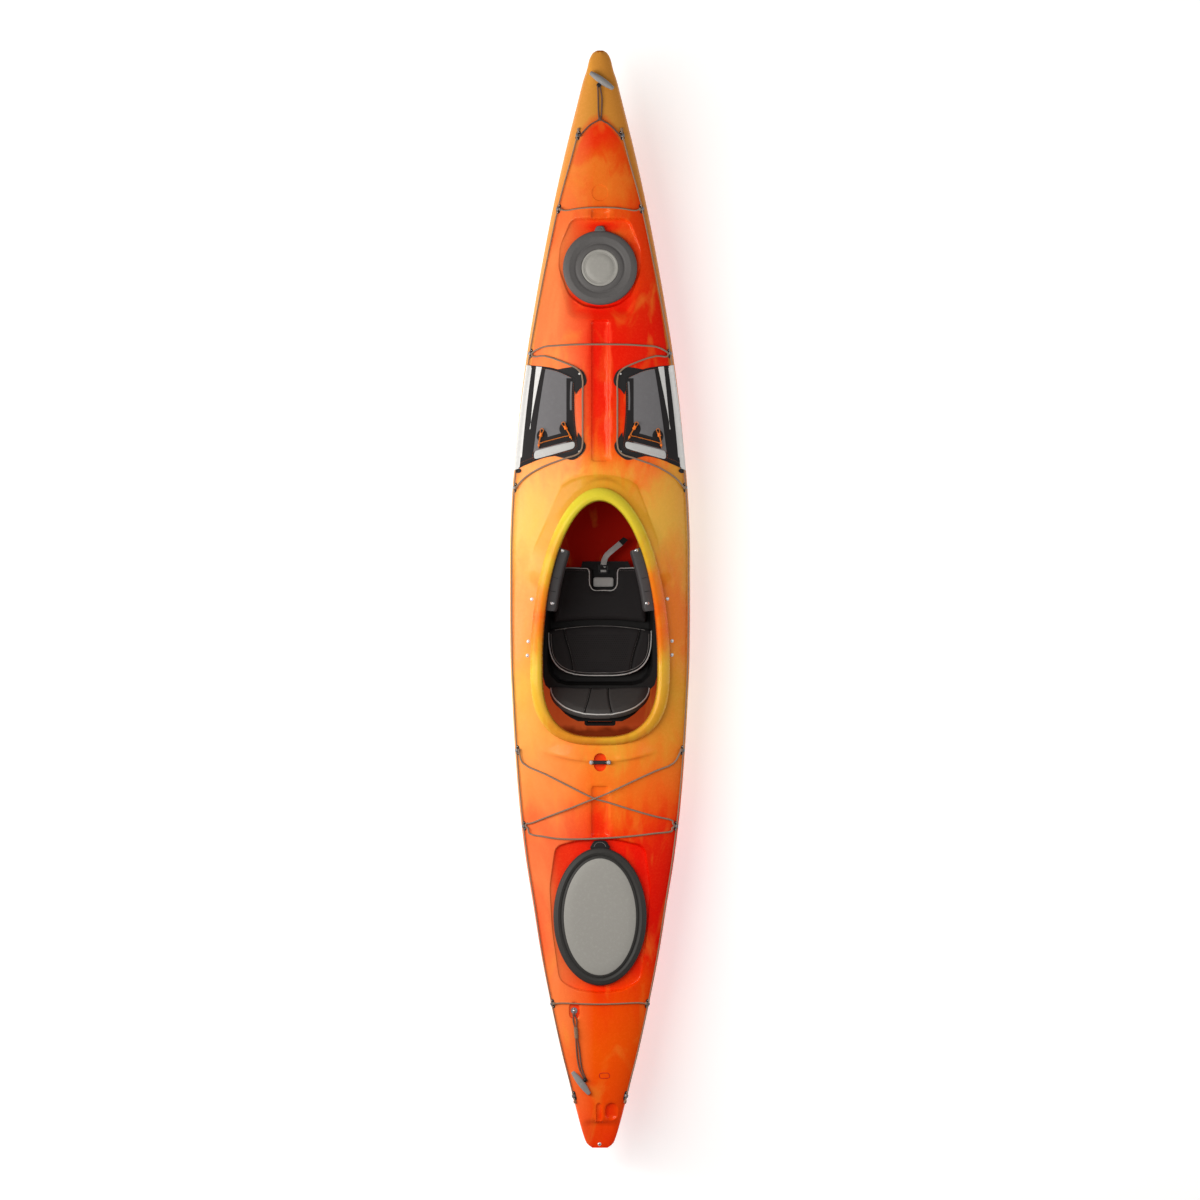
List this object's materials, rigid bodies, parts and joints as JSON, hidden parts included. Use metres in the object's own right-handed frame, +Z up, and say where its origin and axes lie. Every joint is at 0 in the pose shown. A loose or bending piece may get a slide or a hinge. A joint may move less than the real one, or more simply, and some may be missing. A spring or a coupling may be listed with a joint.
{
  "type": "sea kayak",
  "caption": "Touring sea kayak: moulded hull and deck, oval cockpit with folding backrest and leg lifter, sliding foot braces, lift-off hatch covers, deck pockets, bungees and toggles.",
  "frame": {"origin": "centre of the box at its bottom, on the flat of the keel", "axes": "+Y towards the bow, +X to starboard, +Z up"},
  "size_m": [0.628, 3.81, 0.395],
  "materials": {
    "hull": "glossy moulded polyethylene, orange to yellow",
    "deck": "glossy moulded polyethylene, marbled red, orange and yellow",
    "foam": "closed-cell foam, matt",
    "hatch_rubber": "moulded rubber, satin",
    "hatch_panel": "light grey, fine grain",
    "seat_fabric": "black woven fabric with light piping",
    "black_plastic": "black moulded plastic",
    "grey_webbing": "grey webbing",
    "rail_alloy": "plain extruded aluminium",
    "fitting_steel": "stainless, satin",
    "pad_eye_plastic": "black nylon",
    "pocket_mesh": "grey mesh with black binding and pale reflective strips",
    "orange_cord": "thin orange cord",
    "orange_plastic": "orange plastic",
    "toggle_plastic": "grey plastic",
    "tan_cord": "braided cord, grey brown"
  },
  "bodies": {
    "kayak": {"hull": "hull", "deck": "deck", "aft_bungee": "tan_cord", "bow_bulkhead": "foam", "fore_bungee": "tan_cord", "fore_cross_line": "tan_cord", "lock_bar": "fitting_steel", "port_deck_pocket": "pocket_mesh", "port_foot_rail": "rail_alloy", "port_pad_eye_1": "pad_eye_plastic", "port_pad_eye_2": "pad_eye_plastic", "port_pad_eye_3": "pad_eye_plastic", "port_pad_eye_4": "pad_eye_plastic", "port_pad_eye_5": "pad_eye_plastic", "port_pad_eye_6": "pad_eye_plastic", "port_pad_eye_7": "pad_eye_plastic", "port_pad_eye_8": "pad_eye_plastic", "port_perimeter_line": "tan_cord", "port_pocket_cord": "orange_cord", "port_seat_hanger": "black_plastic", "port_thigh_brace": "black_plastic", "seat_base": "black_plastic", "seat_cushion": "seat_fabric", "starboard_deck_pocket": "pocket_mesh", "starboard_foot_rail": "rail_alloy", "starboard_pad_eye_1": "pad_eye_plastic", "starboard_pad_eye_2": "pad_eye_plastic", "starboard_pad_eye_3": "pad_eye_plastic", "starboard_pad_eye_4": "pad_eye_plastic", "starboard_pad_eye_5": "pad_eye_plastic", "starboard_pad_eye_6": "pad_eye_plastic", "starboard_pad_eye_7": "pad_eye_plastic", "starboard_pad_eye_8": "pad_eye_plastic", "starboard_perimeter_line": "tan_cord", "starboard_pocket_cord": "orange_cord", "starboard_seat_hanger": "black_plastic", "starboard_thigh_brace": "black_plastic", "stern_bulkhead": "foam", "stern_cross_line": "tan_cord", "stern_deck_eye": "fitting_steel"},
    "bow_hatch": {"bow_hatch_cover": "hatch_rubber", "bow_hatch_disc": "hatch_panel"},
    "stern_hatch": {"stern_hatch_cover": "hatch_rubber", "stern_hatch_panel": "hatch_panel"},
    "backrest": {"backrest_shell": "black_plastic", "backrest_cushion": "seat_fabric"},
    "leg_lifter": {"leg_lifter_board": "black_plastic", "leg_lifter_cushion": "seat_fabric", "strap_buckle": "black_plastic", "lifter_strap": "grey_webbing"},
    "port_pedal": {"port_foot_pedal": "black_plastic"},
    "starboard_pedal": {"starboard_foot_pedal": "black_plastic"},
    "bow_carry_loop": {"bow_toggle_cord": "tan_cord", "bow_toggle": "toggle_plastic"},
    "stern_carry_loop": {"stern_toggle_cord": "tan_cord", "stern_toggle": "toggle_plastic"},
    "port_outer_lock": {"port_outer_cord_lock": "orange_plastic"},
    "port_inner_lock": {"port_inner_cord_lock": "orange_plastic"},
    "starboard_outer_lock": {"starboard_outer_cord_lock": "orange_plastic"},
    "starboard_inner_lock": {"starboard_inner_cord_lock": "orange_plastic"}
  },
  "joints": [
    {"name": "bow_hatch_lift", "type": "slide", "parent": "kayak", "child": "bow_hatch", "axis": [0, 0, 1], "range_m": [0, 0.3]},
    {"name": "stern_hatch_lift", "type": "slide", "parent": "kayak", "child": "stern_hatch", "axis": [0, 0, 1], "range_m": [0, 0.3]},
    {"name": "backrest_fold", "type": "hinge", "parent": "kayak", "child": "backrest", "pos_m": [0, -0.317, 0.12], "axis": [-1, 0, 0], "range_deg": [0, 60]},
    {"name": "leg_lifter_fold", "type": "hinge", "parent": "kayak", "child": "leg_lifter", "pos_m": [0, -0.0775, 0.1], "axis": [1, 0, 0], "range_deg": [0, 14]},
    {"name": "port_pedal_slide", "type": "slide", "parent": "kayak", "child": "port_pedal", "axis": [0.1066, 0.9943, 0], "range_m": [-0.15, 0.15]},
    {"name": "starboard_pedal_slide", "type": "slide", "parent": "kayak", "child": "starboard_pedal", "axis": [-0.1066, 0.9943, 0], "range_m": [-0.15, 0.15]},
    {"name": "bow_loop_swing", "type": "hinge", "parent": "kayak", "child": "bow_carry_loop", "pos_m": [0, 1.61044, 0.36112], "axis": [1, 0, 0], "range_deg": [0, 150]},
    {"name": "stern_loop_swing", "type": "hinge", "parent": "kayak", "child": "stern_carry_loop", "pos_m": [-0.09, -1.44184, 0.29087], "axis": [-1, 0, 0], "range_deg": [0, 120]},
    {"name": "port_outer_lock_slide", "type": "slide", "parent": "kayak", "child": "port_outer_lock", "axis": [-0.2216, -0.9727, -0.0693], "range_m": [0, 0.018]},
    {"name": "port_inner_lock_slide", "type": "slide", "parent": "kayak", "child": "port_inner_lock", "axis": [0.4613, -0.8842, 0.0733], "range_m": [0, 0.018]},
    {"name": "starboard_outer_lock_slide", "type": "slide", "parent": "kayak", "child": "starboard_outer_lock", "axis": [0.2216, -0.9727, -0.0693], "range_m": [0, 0.018]},
    {"name": "starboard_inner_lock_slide", "type": "slide", "parent": "kayak", "child": "starboard_inner_lock", "axis": [-0.4613, -0.8842, 0.0733], "range_m": [0, 0.018]}
  ]
}
